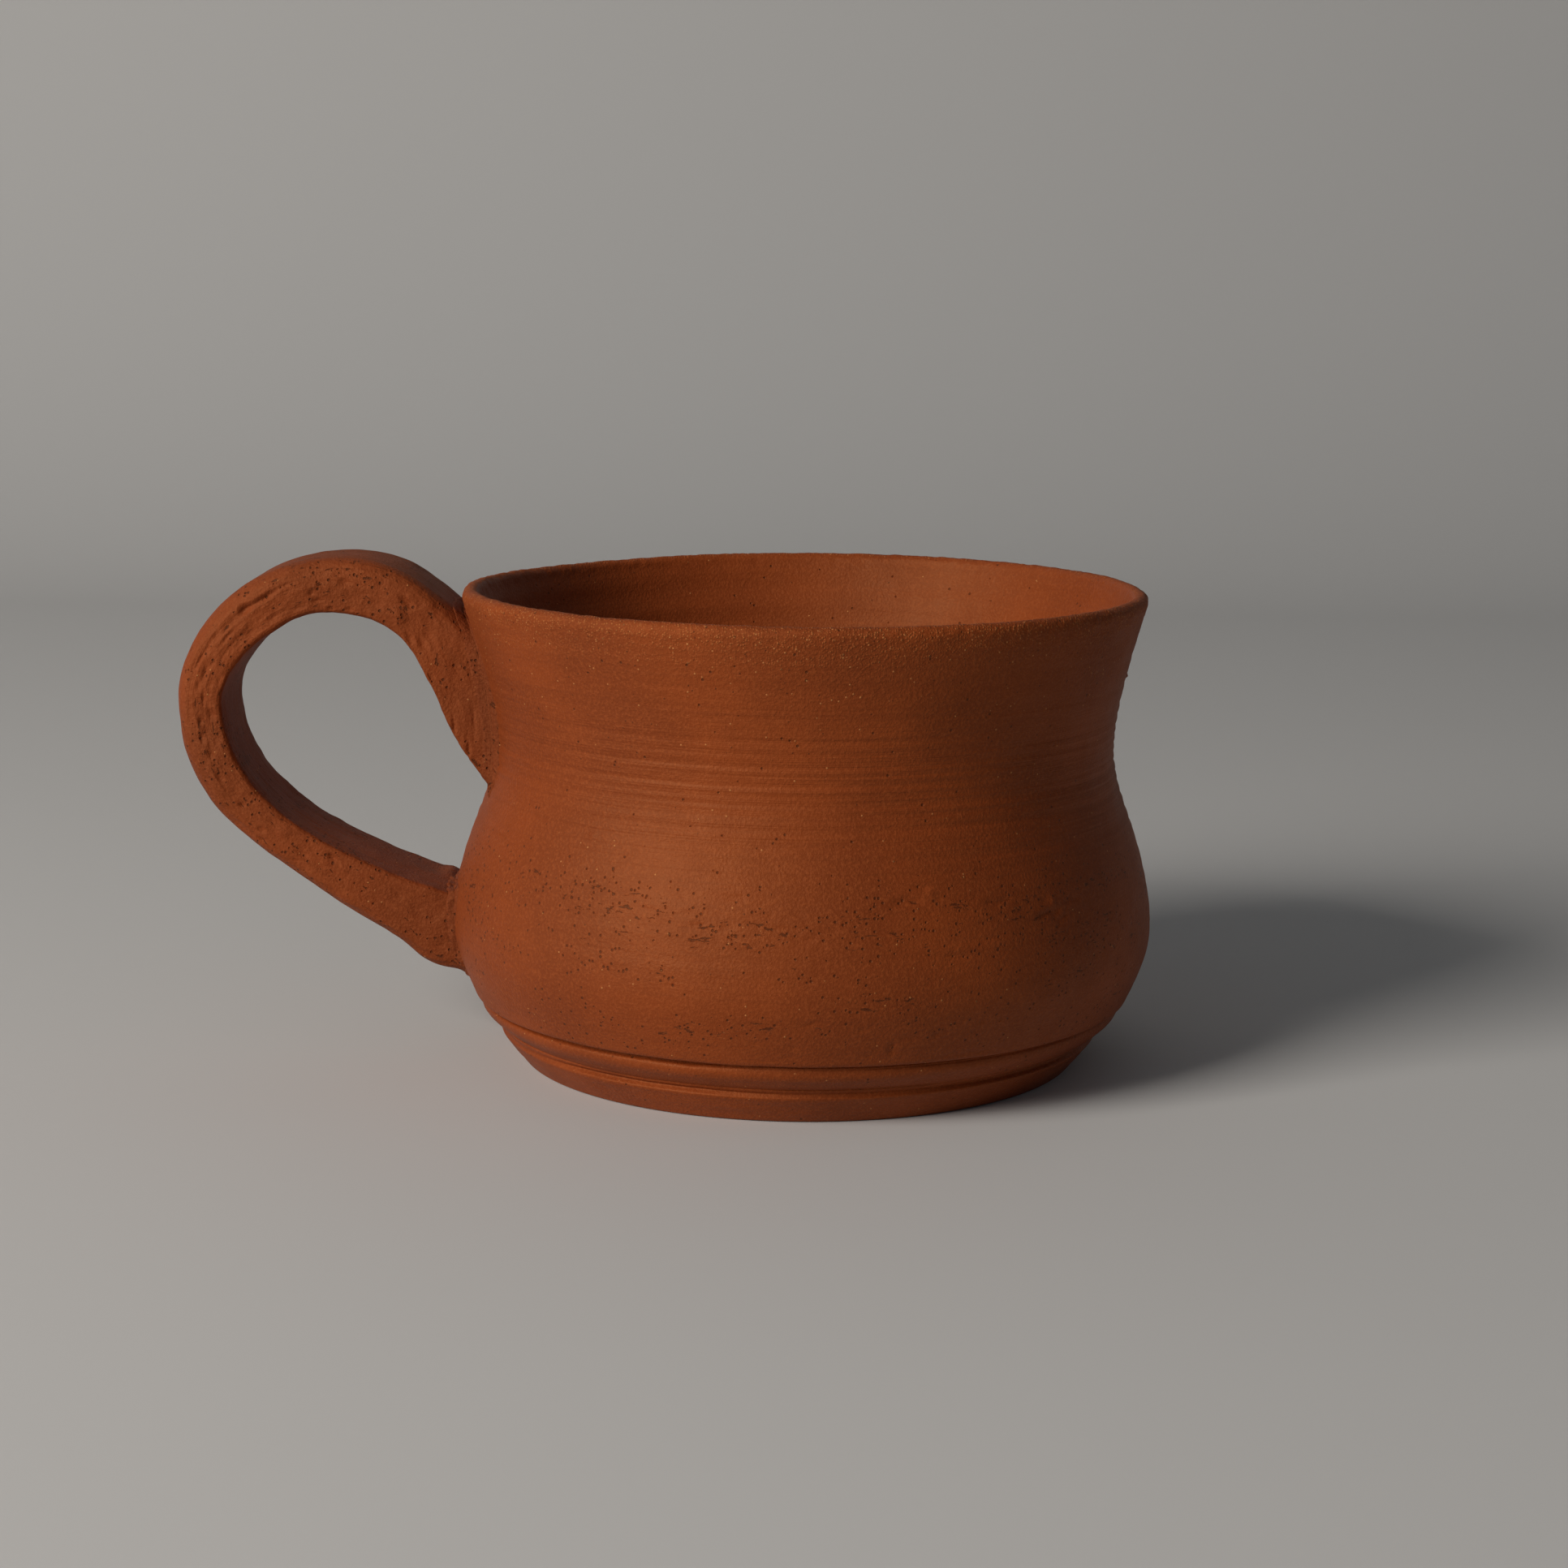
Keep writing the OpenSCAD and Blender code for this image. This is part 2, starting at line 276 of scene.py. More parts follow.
def weather_pot(pot):
    """Everything the potter's fingers and tools left on the pot."""
    points = points_of(pot)
    normals = normals_of(pot)
    x, y, z = points.T
    radius = np.hypot(x, y)
    angle = np.degrees(np.arctan2(y, x))
    turn = np.radians(angle)
    outer = wall_radius(np.clip(z, BELLY_EDGE, LIP_HEIGHT))
    on_wall = (radius > outer - 1.2) & (z > 9.9)
    outside = on_wall * smooth_step(9.9, 11.0, z) * (1 - smooth_step(LIP_HEIGHT - 0.6, LIP_HEIGHT + 0.5, z))
    inside = (radius < outer - 1.6) & (z > FLOOR_THICK - 0.1)
    inside_wall = inside * smooth_step(12.0, 18.0, z) * (1 - smooth_step(LIP_HEIGHT - 1.5, LIP_HEIGHT, z))
    under = (z < 0.05) & (radius < 39.5)
    push = np.zeros(len(points))

    # Rings rise a little round the pot, as a finger's path does, and fade in and out.
    climb = z + 0.35 * np.cos(turn - 2.2) + 0.25 * lumps(points, (22, 22, 60), 3)
    for i, (height, depth, width) in enumerate(NECK_RINGS):
        strength = 0.75 + 0.45 * lumps(points, (26, 26, 400), 20 + i)
        groove_and_ridge = ripple(climb, height, width) - 0.6 * ripple(climb, height - 0.8, width)
        push -= outside * 0.8 * depth * strength * groove_and_ridge
    climbing = np.stack([x, y, climb], 1)
    fine = lumps(climbing, (34, 34, 0.9), 5) + 0.6 * lumps(climbing, (20, 20, 0.45), 6)
    push += outside * 0.022 * fine * (1 + smooth_step(32, 42, z))
    push += inside_wall * (0.10 * np.sin(2 * np.pi * (z + turn * 0.9) / 5.6) + 0.03 * fine)
    spiral = 0.16 * np.sin(2 * np.pi * (radius - turn * 0.9) / 5.6) * smooth_step(3, 9, radius)
    push += (inside & (z < FLOOR_THICK + 1.5)) * spiral
    push -= under * 0.10 * np.abs(lumps(np.stack([radius, radius * 0, z], 1), 1.1, 8)) * smooth_step(2, 6, radius)

    # The bands of the foot wander and were cut with a chattering tool.
    foot = (z > 0.3) & (z < 10.2) & (radius > 40)
    push += foot * (0.05 * lumps(points, (9, 9, 1.2), 9) + 0.025 * lumps(points, (2.5, 2.5, 0.7), 10))
    for low, high, floor, fade in ((8.6, 9.55, 46.75, 0.6), (4.35, 5.7, 43.75, 0.45)):
        shallow = np.clip(0.40 + 1.2 * lumps(points, (24, 24, 900), 17 + int(low)), 0, 1)
        in_groove = smooth_step(low, low + 0.25, z) * (1 - smooth_step(high - 0.2, high, z)) * foot
        push += in_groove * fade * shallow * np.clip(1 - (radius - floor) / 0.7, 0, 1)

    # Soft unevenness of hand work, and a gritty lip.
    skin = (radius > 38) & (z > 0.3)
    push += skin * 0.10 * lumps(points, 17, 12) * (0.3 + 0.7 * outside)
    push += skin * 0.022 * lumps(points, 2.6, 13)
    lip = smooth_step(LIP_HEIGHT - 3.0, LIP_HEIGHT + 0.3, z)
    push += lip * (0.06 * lumps(points, 1.3, 14) + 0.06 * lumps(points, 0.7, 15) - 0.04)

    # Grit dragged out of the belly leaves short level pits with a burr along one edge.
    belly = np.nonzero(on_wall & (z < 42))[0]
    order = belly[np.argsort(z[belly])]
    heights = z[order]
    for mark_angle, height, length, width, depth, side in drag_marks():
        first, last = np.searchsorted(heights, [height - 1.5, height + 1.5])
        near = order[first:last]
        along = np.radians(turned_from(angle[near], mark_angle)) * radius[near]
        close = np.abs(along) < length + 1.5
        near, along = near[close], along[close]
        waver = 0.15 * np.sin(along * 2.3 + mark_angle)
        up = z[near] - height - waver * min(1.0, length / 2)
        inside_mark = np.maximum(np.abs(along) - (length - width) / 2, 0)
        gap = np.hypot(inside_mark, up) / (width / 2)
        push[near] -= depth * np.clip(1.6 - 1.2 * gap, 0, 1)
        burr = np.hypot(inside_mark, up - side * width * 0.75) / (width / 2)
        push[near] += 0.25 * depth * np.clip(1.1 - burr, 0, 1)
    for crumb_angle, height, size, out in CRUMBS:
        away = np.radians(turned_from(angle, crumb_angle)) * radius
        push += on_wall * out * np.exp(-((away / size) ** 2 + ((z - height) / size) ** 2) * 2.5)

    points = points + normals * push[:, None]

    # A little out of true: foot and neck were not quite centred, and the lip dips at the back.
    points[:, 0] += 0.25 * smooth_step(26, 38, z) * (1 - smooth_step(52, 64, z)) * smooth_step(-30, 5, x)
    points[:, 0] -= 0.45 * (1 - smooth_step(2, 11, z))
    rim_dip = 0.55 * ripple(turned_from(angle, 138), 0, 30) + 0.10 * (1 + lumps(points, (30, 30, 500), 16))
    points[:, 2] -= smooth_step(45, LIP_HEIGHT, points[:, 2]) * rim_dip
    set_points(pot, points)


def thin_out(piece, most):
    """Keeps the detail and drops triangles where the surface is plain."""
    pick_up(piece)
    piece.data.calc_loop_triangles()
    count = len(piece.data.loop_triangles)
    if count > most:
        finish_with(piece, "DECIMATE", ratio=most / count)


# ------------------------------------------------------------------ the strap handle

STRAP_HALF_WIDTH = 9.0
STRAP_STEPS = 18                        # rings along each of the three curves
LOOP_CENTRE = np.array([-68.0, 48.0])   # x, z of the middle of the finger opening

# The strap's outer and inner edges seen from the side, as three curves each: x, z of four points.
OUTER_EDGE = [
    [(-45.5, 61.6), (-52.8, 68.1), (-57.2, 73.75), (-67.2, 73.75)],
    [(-67.2, 73.75), (-79.7, 73.75), (-91.12, 63.6), (-91.12, 52.5)],
    [(-91.12, 52.5), (-91.12, 29.9), (-69.5, 27.1), (-45.8, 7.2)],
]
INNER_EDGE = [
    [(-42.4, 37.7), (-58.1, 50.7), (-50.9, 65.5), (-69.5, 65.5)],
    [(-69.5, 65.5), (-75.3, 65.5), (-84.05, 57.7), (-84.05, 52.5)],
    [(-84.05, 52.5), (-84.05, 40.2), (-73.2, 30.9), (-47.7, 23.9)],
]


def along_curve(four, t):
    a, b, c, d = (np.array(p, float) for p in four)
    return a * (1 - t)**3 + 3 * b * t * (1 - t)**2 + 3 * c * t**2 * (1 - t) + d * t**3


def strap_stations():
    """Pairs of points on the outer and inner edge, all the way from the upper root to the lower one."""
    pairs = []
    for outer, inner in zip(OUTER_EDGE, INNER_EDGE):
        for i in range(STRAP_STEPS):
            pairs.append((along_curve(outer, i / STRAP_STEPS), along_curve(inner, i / STRAP_STEPS)))
    pairs.append((np.array(OUTER_EDGE[2][3], float), np.array(INNER_EDGE[2][3], float)))
    return pairs


def strap_ring(outer, inner, grow=0.0):
    """One section of the strap: broadly rounded on the outside, crisp on the finger side, with flat cheeks."""
    middle = (outer + inner) / 2
    across = (outer - inner) / np.linalg.norm(outer - inner)
    half = np.linalg.norm(outer - inner) / 2
    broad = min(3.3, half * 0.9)
    crisp = min(1.1, half * 0.4)
    ring = [(-half, 0.0), (-half, 3.5)]
    for a in (180, 150, 120, 90):
        ring.append((-(half - crisp) + crisp * math.cos(math.radians(a)),
                     STRAP_HALF_WIDTH - crisp + crisp * math.sin(math.radians(a))))
    ring.append(((broad - crisp) / -2, STRAP_HALF_WIDTH - 0.12))
    for a in (90, 68, 45, 22, 0):
        ring.append((half - broad + broad * math.cos(math.radians(a)),
                     STRAP_HALF_WIDTH - broad + broad * math.sin(math.radians(a))))
    ring += [(half, 2.5), (half, 0.0)]
    ring += [(u, -v) for u, v in reversed(ring[1:-1])]
    loop = []
    for u, v in ring:
        u += grow * np.clip(u / (half - crisp), -1, 1)
        v += grow * np.clip(v / (STRAP_HALF_WIDTH - crisp), -1, 1)
        loop.append((middle[0] + across[0] * u, v, middle[1] + across[1] * u))
    return loop


def loft(name, loops, closed):
    """A skin through loops of points: a ring of edges is extruded, and each new ring is set on the next loop.
    Its map "pull" runs along the piece in U and round it in V, both in metres."""
    put_down()
    bpy.ops.mesh.primitive_circle_add(vertices=len(loops[0]), radius=MM, fill_type="NOTHING", location=(0, 0, 0))
    piece = bpy.context.object
    piece.name = name
    bpy.ops.object.mode_set(mode="EDIT")
    bpy.ops.mesh.select_mode(type="EDGE")
    bpy.ops.mesh.select_all(action="SELECT")
    shape = bmesh.from_edit_mesh(piece.data)
    shape.verts.ensure_lookup_table()
    for vert, place in zip(shape.verts, loops[0]):
        vert.co = [c * MM for c in place]
    for loop in loops[1:]:
        bpy.ops.mesh.extrude_region_move(TRANSFORM_OT_translate={"value": (0, 0, 0)})
        shape = bmesh.from_edit_mesh(piece.data)
        shape.verts.ensure_lookup_table()
        for vert, place in zip(shape.verts[-len(loop):], loop):
            vert.co = [c * MM for c in place]
        bmesh.update_edit_mesh(piece.data)
    shape = bmesh.from_edit_mesh(piece.data)
    shape.verts.index_update()
    sides = len(loops[0])
    middles = np.array(loops).mean(axis=1)
    run = np.concatenate([[0.0], np.cumsum(np.linalg.norm(np.diff(middles, axis=0), axis=1))])
    halfway = loops[len(loops) // 2]
    around = np.linalg.norm(np.diff(np.array(halfway + halfway[:1]), axis=0), axis=1)
    girth = np.concatenate([[0.0], np.cumsum(around)])
    pull = shape.loops.layers.uv.new("pull")
    for face in shape.faces:
        wraps = max(v.index % sides for v in face.verts) - min(v.index % sides for v in face.verts) > 1
        for corner in face.loops:
            step, side = divmod(corner.vert.index, sides)
            side = sides if wraps and side == 0 else side
            corner[pull].uv = (run[step] * MM, girth[side] * MM)
    bmesh.update_edit_mesh(piece.data)
    if closed:
        bpy.ops.mesh.select_all(action="DESELECT")
        bpy.ops.mesh.select_non_manifold()
        bpy.ops.mesh.bridge_edge_loops()
    else:
        for _ in range(2):
            bpy.ops.mesh.select_all(action="DESELECT")
            bpy.ops.mesh.select_non_manifold()
            bpy.ops.mesh.fill_holes(sides=0)
    bpy.ops.mesh.select_all(action="SELECT")
    bpy.ops.mesh.normals_make_consistent(inside=False)
    bpy.ops.object.mode_set(mode="OBJECT")
    return piece


def pull_strap():
    loops = [strap_ring(outer, inner) for outer, inner in strap_stations()]
    strap = loft("strap", loops, closed=False)
    finish_with(strap, "SUBSURF", levels=3, render_levels=3)
    return strap


# Knocks, cracks and crumbs on the strap's near cheek: place, size along and across, how far in.
STRAP_MARKS = [
    ((-80.4, 66.2), 1.5, 0.7, 0.50), ((-78.0, 67.5), 2.6, 0.5, 0.30), ((-74.3, 68.8), 2.4, 0.5, 0.22),
    ((-80.6, 63.6), 1.6, 1.2, -0.25), ((-76.4, 64.8), 1.2, 0.8, 0.20), ((-70.9, 68.6), 0.7, 0.6, 0.25),
    ((-87.4, 58.6), 1.6, 0.35, 0.18), ((-86.5, 56.6), 1.8, 0.35, 0.22), ((-87.6, 55.2), 1.4, 0.35, 0.16),
    ((-86.8, 53.0), 1.2, 0.35, 0.18), ((-85.4, 58.0), 1.3, 0.35, 0.16), ((-85.7, 50.7), 0.9, 0.8, 0.30),
    ((-87.0, 47.5), 0.9, 0.8, 0.20), ((-86.0, 44.8), 0.8, 0.6, 0.26), ((-84.5, 41.5), 1.2, 0.6, 0.24),
    ((-81.6, 37.5), 0.6, 0.5, 0.34), ((-79.0, 32.2), 0.8, 0.4, 0.30), ((-76.0, 33.4), 1.2, 0.9, -0.22),
    ((-72.6, 30.2), 1.1, 0.7, 0.20), ((-68.6, 29.9), 0.9, 0.7, 0.45), ((-66.8, 28.2), 1.0, 0.8, -0.25),
    ((-59.0, 24.4), 0.7, 0.6, 0.34), ((-56.6, 22.6), 0.8, 0.5, 0.28), ((-54.0, 21.0), 0.9, 0.5, 0.30),
    ((-61.0, 19.0), 1.2, 0.9, 0.18), ((-58.4, 65.4), 1.8, 1.3, -0.32), ((-55.0, 61.5), 1.3, 0.9, 0.26),
    ((-61.8, 66.8), 1.4, 0.9, 0.22), ((-53.8, 56.5), 1.0, 0.5, 0.26), ((-50.2, 58.4), 1.6, 0.5, 0.28),
    ((-65.5, 66.2), 0.6, 0.5, 0.26), ((-68.2, 66.3), 0.6, 0.5, 0.30), ((-50.6, 49.4), 1.8, 0.4, 0.26),
    ((-48.6, 46.0), 1.8, 0.35, 0.30), ((-47.8, 50.6), 1.6, 0.4, 0.22), ((-83.2, 62.0), 1.6, 0.35, 0.18),
]


def strap_place(points):
    """Where each point lies on the strap: angle round the loop from the pot, and distance out from its middle."""
    middles = np.array([(outer + inner) / 2 for outer, inner in strap_stations()])[2:-2] - LOOP_CENTRE
    turn = np.unwrap(np.arctan2(middles[:, 1], middles[:, 0]))
    flat = points[:, (0, 2)] - LOOP_CENTRE
    angle = np.arctan2(flat[:, 1], flat[:, 0])
    angle = np.where(angle < turn[0] - 0.3, angle + 2 * np.pi, angle)
    return angle, np.hypot(flat[:, 0], flat[:, 1]) - np.interp(angle, turn, np.hypot(middles[:, 0], middles[:, 1]))


def turn_up(points):
    """The strap's lower edge was pressed up into the belly, just above the foot."""
    x, z = points[:, 0], points[:, 2]
    points[:, 2] += 1.9 * smooth_step(-54.5, -49.0, x) * (1 - smooth_step(11.0, 18.0, z))
    points[:, 2] -= 0.5 * ripple(x, -55.5, 2.2) * (1 - smooth_step(15.0, 20.0, z))


def work_strap(strap):
    """Pulling, pressing and drying marks on the strap."""
    points = points_of(strap)
    normals = normals_of(strap)
    x, y, z = points.T
    angle, out = strap_place(points)
    cheek = smooth_step(6.4, 8.4, np.abs(y))
    pulled = np.stack([out, y, angle * 24.0], 1)
    push = 0.20 * lumps(points, 11, 31) + 0.13 * lumps(points, 4.5, 32) + 0.05 * lumps(points, 1.7, 33) - 0.14
    flat = cheek * (0.35 + 0.65 * smooth_step(-3.4, -2.2, out))
    push += flat * (0.07 * lumps(pulled, (0.8, 4, 3.6), 34) + 0.055 * lumps(pulled, (0.5, 4, 1.5), 35)
                    + 0.14 * lumps(pulled, (2.2, 4, 5.0), 36) + 0.05 * lumps(points, 0.8, 39))
    push += (1 - cheek) * 0.05 * lumps(pulled, (4, 0.7, 7.0), 37)
    # A crease where the outer edge was smoothed down over the cheek, and fingertip dents along the inner one.
    top_left = smooth_step(1.6, 1.9, angle) * (1 - smooth_step(2.6, 3.1, angle))
    push -= cheek * 0.17 * top_left * ripple(out, 1.2 + 0.4 * np.sin(angle * 5), 0.45)
    push += cheek * 0.12 * top_left * ripple(out, 2.3 + 0.4 * np.sin(angle * 5), 0.7)
    push -= 0.07 * ripple(out, -3.2, 1.0) * cheek * np.clip(lumps(pulled, (30, 4, 2.4), 38), 0, 1)
    luck = np.random.default_rng(23)
    stations = strap_stations()
    marks = [mark + (-1,) for mark in STRAP_MARKS]
    for _ in range(44):
        outer, inner = stations[luck.integers(3, len(stations) - 2)]
        marks.append((tuple(inner + (outer - inner) * luck.uniform(0.1, 0.8)), luck.uniform(0.5, 2.0),
                      luck.uniform(0.35, 0.8), luck.uniform(0.15, 0.4), luck.choice([-1, 1, 1, 1])))
    for place, along, across, depth, side in marks:
        there, off = strap_place(np.array([[place[0], 0.0, place[1]]]))
        length = (angle - there[0]) * np.hypot(*(place - LOOP_CENTRE)) / along
        push -= depth * (y * side > 5.5) * np.clip(1.25 - 1.25 * np.hypot(length, (out - off[0]) / across), 0, 1)
    # A pinch of clay left standing in the corner above the lower root.
    push += 0.9 * np.exp(-(((x + 52.4) / 1.1) ** 2 + ((z - 26.3) / 1.6) ** 2 + ((y - 4.5) / 4.5) ** 2))
    points = points + normals * push[:, None]
    turn_up(points)
    set_points(strap, points)


# ------------------------------------------------------------------ slip round each root

def root_loops(curve, wall_end, steps):
    """Loops round the strap's root, each a set growth off the strap and a set distance off the wall."""
    reach = np.linspace(0, 0.75, 120) if wall_end == 0 else np.linspace(1, 0.25, 120)
    edges = [(along_curve(OUTER_EDGE[curve], t), along_curve(INNER_EDGE[curve], t)) for t in reach]
    loops = []
    for grow, stand_off in steps:
        rings = np.array([strap_ring(outer, inner, grow) for outer, inner in edges])
        off = np.hypot(rings[:, :, 0], rings[:, :, 1]) - stand_off \
            - wall_radius(np.clip(rings[:, :, 2], BELLY_EDGE, LIP_HEIGHT))
        loop = []
        for j in range(rings.shape[1]):
            k = max(int(np.argmax(off[:, j] > 0)), 1)
            share = off[k - 1, j] / (off[k - 1, j] - off[k, j])
            loop.append(tuple(rings[k - 1, j] + (rings[k, j] - rings[k - 1, j]) * share))
        loops.append(loop)
    return loops


# Slip across the joint, from under the strap to under the wall: how far off the strap, how far off the wall.
# It climbs the strap's side in a hollow curve, with two shallow lines where a pointed tool was drawn down it.
SLIP_SECTION = [(-0.5, 1.6), (-0.5, -1.1), (2.2, -1.1), (2.0, -0.55), (1.65, -0.10), (1.38, 0.22), (1.18, 0.24),
                (1.02, -0.02), (0.90, -0.02), (0.76, 0.42), (0.56, 0.52), (0.42, 0.10), (0.28, 0.05), (0.16, 0.60),
                (0.07, 1.2), (0.0, 1.7), (-0.25, 2.0)]
# Where it was only pinched in, it stands up in crumbs with a crack left between it and the strap.
PINCHED_SECTION = [(-0.5, 1.2), (-0.5, -1.0), (1.8, -1.0), (1.6, -0.40), (1.20, 0.18), (0.95, 0.42), (0.75, 0.50),
                   (0.55, 0.40), (0.40, 0.05), (0.28, 0.02), (0.20, 0.35), (0.12, 0.8), (0.02, 1.2), (-0.25, 1.4)]


def slip_round_root(name, curve, wall_end, section, crumbly):
    """Slip that squeezed out of the joint between the strap and the pot."""
    slip = loft(name, root_loops(curve, wall_end, section), closed=True)
    finish_with(slip, "SUBSURF", levels=3, render_levels=3, use_limit_surface=False)
    points = points_of(slip)
    push = 0.10 * lumps(points, 3.2, 41) + 0.16 * crumbly * lumps(points, 1.3, 42) \
        + 0.10 * crumbly * lumps(points, 0.6, 43) - 0.05
    points = points + normals_of(slip) * push[:, None]
    turn_up(points)
    set_points(slip, points)
    return slip


# ------------------------------------------------------------------ materials

def linear(hex_colour):
    """An sRGB hex colour as the linear RGBA that the shaders take."""
    parts = [int(hex_colour[i:i + 2], 16) / 255 for i in (1, 3, 5)]
    return tuple(c / 12.92 if c <= 0.04045 else ((c + 0.055) / 1.055) ** 2.4 for c in parts) + (1.0,)


def add_node(material, kind, settings=None, links=None):
    """Adds a node, sets its properties and unlinked sockets, and links the rest."""
    tree = material.node_tree
    node = tree.nodes.new(kind)
    for name, value in (settings or {}).items():
        if isinstance(name, str) and hasattr(node, name):
            setattr(node, name, value)
        else:
            node.inputs[name].default_value = value
    for name, source in (links or {}).items():
        tree.links.new(source if isinstance(source, bpy.types.NodeSocket) else source.outputs[0], node.inputs[name])
    return node


def bare_earthenware(name, clay, dark, pale, made, bump, rough):
    """Unglazed red earthenware: low-fired red clay with sand and crushed grog in it, and nothing on it.
    Matt and softly mottled, with cream and iron-dark grains, pinholes and the lines of whatever shaped it: level
    lines from a turning tool on a thrown piece, lines along the strap on a pulled one.
    The pinholes and tears are painted dark as painted shade, and the sand grains at the lip's edge are painted
    lighter as a painted highlight."""
    thrown = made == "thrown"
    material = bpy.data.materials.new(name)
    material.use_nodes = True
    material.node_tree.nodes.clear()
    node = partial(add_node, material)

    place = node("ShaderNodeTexCoord").outputs["Object"]
    height = node("ShaderNodeSeparateXYZ", links={0: place}).outputs["Z"]
    way = place if thrown else node("ShaderNodeUVMap", {"uv_map": "pull"})

    # Cloudy patches about 20 mm across, where the fire ran hotter, and blotches of 4 mm inside them.
    cloud = node("ShaderNodeTexNoise", {"Scale": 48.0, "Detail": 1.0}, {"Vector": place})
    blotch = node("ShaderNodeTexNoise", {"Scale": 240.0, "Detail": 2.0}, {"Vector": place})
    # Sand of 0.4 mm.
    sand = node("ShaderNodeTexNoise", {"Scale": 2400.0, "Detail": 2.0, "Roughness": 0.6}, {"Vector": place})
    # Tool lines 0.8 mm apart, plainest round the pot's neck. They run on for 60 mm there and for 17 mm on the strap.
    lines_scale = (16.0, 16.0, 1250.0) if thrown else (60.0, 1250.0, 1.0)
    lines_at = node("ShaderNodeMapping", {"Scale": lines_scale}, {"Vector": way})
    lines = node("ShaderNodeTexNoise", {"Scale": 1.0, "Detail": 3.0, "Roughness": 0.6}, {"Vector": lines_at})
    neck_low = node("ShaderNodeMapRange", {"From Min": 0.033, "From Max": 0.040}, {"Value": height})
    neck_top = node("ShaderNodeMapRange", {"From Min": 0.060, "From Max": 0.052}, {"Value": height})
    neck = node("ShaderNodeMath", {"operation": "MULTIPLY"}, {0: neck_low, 1: neck_top})
    neck = node("ShaderNodeMath", {"operation": "MULTIPLY_ADD", 1: 1.7 if thrown else 0.0,
                                   2: 0.35 if thrown else 1.0}, {0: neck})
    line_relief = node("ShaderNodeMath", {"operation": "MULTIPLY"}, {0: lines, 1: neck})

    # Where the surface was dragged open: the belly of the pot, most of all 30 mm up, or anywhere on the strap.
    low_edge = node("ShaderNodeMapRange", {"From Min": 0.009, "From Max": 0.014}, {"Value": height})
    top_edge = node("ShaderNodeMapRange", {"From Min": 0.037, "From Max": 0.032}, {"Value": height})
    belly = node("ShaderNodeMath", {"operation": "MULTIPLY"}, {0: low_edge, 1: top_edge})
    band_edge = node("ShaderNodeMapRange", {"From Min": 0.024, "From Max": 0.028, "To Max": 0.10},
                     {"Value": height})
    drift_at = node("ShaderNodeMapping", {"Scale": (85.0, 85.0, 230.0)}, {"Vector": place})
    drift = node("ShaderNodeTexNoise", {"Scale": 1.0, "Detail": 2.0}, {"Vector": drift_at})
    if thrown:
        drift = node("ShaderNodeMath", {"operation": "ADD"}, {0: drift, 1: band_edge})
    drift = node("ShaderNodeMapRange", {"From Min": 0.44, "From Max": 0.66}, {"Value": drift})
    if thrown:
        drift = node("ShaderNodeMath", {"operation": "MULTIPLY"}, {0: drift, 1: belly})

    # Pinholes 0.25 mm wide with a soft edge as wide again: one cell of 0.5 mm in 100, and one in 5 in a drift.
    hole_cells = node("ShaderNodeTexVoronoi", {"Scale": 1900.0}, {"Vector": place})
    hole_pick = node("ShaderNodeSeparateXYZ", links={0: hole_cells.outputs["Color"]})
    hole_bar = node("ShaderNodeMapRange", {"To Min": 0.990, "To Max": 0.80}, {"Value": drift})
    hole_on = node("ShaderNodeMath", {"operation": "GREATER_THAN"}, {0: hole_pick, 1: hole_bar})
    hole_core = node("ShaderNodeMapRange", {"From Min": 0.46, "From Max": 0.24},
                     {"Value": hole_cells.outputs["Distance"]})
    hole = node("ShaderNodeMath", {"operation": "MULTIPLY"}, {0: hole_on, 1: hole_core})
    # Ragged tears, up to 2 mm long and under 1 mm wide, drawn out along the tool's way.
    tear_scale = (480.0, 480.0, 1500.0) if thrown else (420.0, 1100.0, 1.0)
    tear_at = node("ShaderNodeMapping", {"Scale": tear_scale}, {"Vector": way})
    tear = node("ShaderNodeTexNoise", {"Scale": 1.0, "Detail": 4.0, "Roughness": 0.62}, {"Vector": tear_at})
    tear_bar = node("ShaderNodeMapRange", {"To Min": 0.80 if thrown else 0.67, "To Max": 0.60}, {"Value": drift})
    tear = node("ShaderNodeMath", {"operation": "SUBTRACT"}, {0: tear, 1: tear_bar})
    tear = node("ShaderNodeMapRange", {"From Min": 0.0, "From Max": 0.030}, {"Value": tear})
    # Pinholes and tears sink into the bump below, and are also painted near-black brown in the colour: painted shade
    # in the hollows.
    pits_and_painted_shade = node("ShaderNodeMath", {"operation": "MAXIMUM"}, {0: hole, 1: tear})

    # Grog of 0.15 to 0.3 mm, cream and iron-dark: thin on the body, and thick outside the lip, which was wiped bare.
    facing = node("ShaderNodeVectorMath", {"operation": "DOT_PRODUCT"},
                  {0: place, 1: node("ShaderNodeNewGeometry").outputs["Normal"]}).outputs["Value"]
    outside = node("ShaderNodeMapRange", {"From Min": 0.020, "From Max": 0.034, "To Max": 1.0 if thrown else 0.0},
                   {"Value": facing})
    lip = node("ShaderNodeMapRange", {"From Min": 0.054, "From Max": 0.0685}, {"Value": height})
    lip = node("ShaderNodeMath", {"operation": "MULTIPLY"}, {0: lip, 1: outside})
